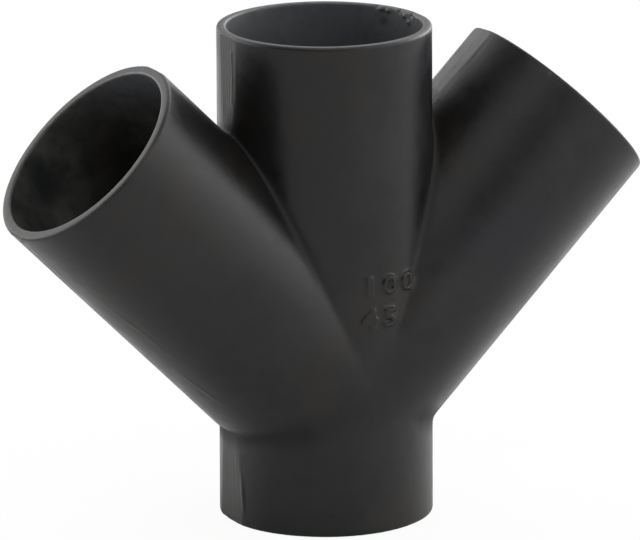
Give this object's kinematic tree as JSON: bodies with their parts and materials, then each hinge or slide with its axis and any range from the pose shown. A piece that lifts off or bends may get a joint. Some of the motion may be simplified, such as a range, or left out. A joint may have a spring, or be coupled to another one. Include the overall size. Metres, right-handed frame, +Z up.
{
  "type": "double soil branch",
  "caption": "Cast-iron double branch for a soil stack: a straight plain-ended barrel with two equal side branches at 45 degrees.",
  "frame": {"origin": "centre of the barrel's lower end, on the surface that it stands on", "axes": "+Z up the stack along the barrel, +X towards the right-hand branch, both branches in the XZ plane"},
  "size_m": [0.3442, 0.1112, 0.2561],
  "materials": {
    "branch_casting": "cast surface under a thin dark grey coat, satin, with lighter rubbed edges"
  },
  "bodies": {
    "root": {"branch_casting": "branch_casting"}
  },
  "joints": []
}
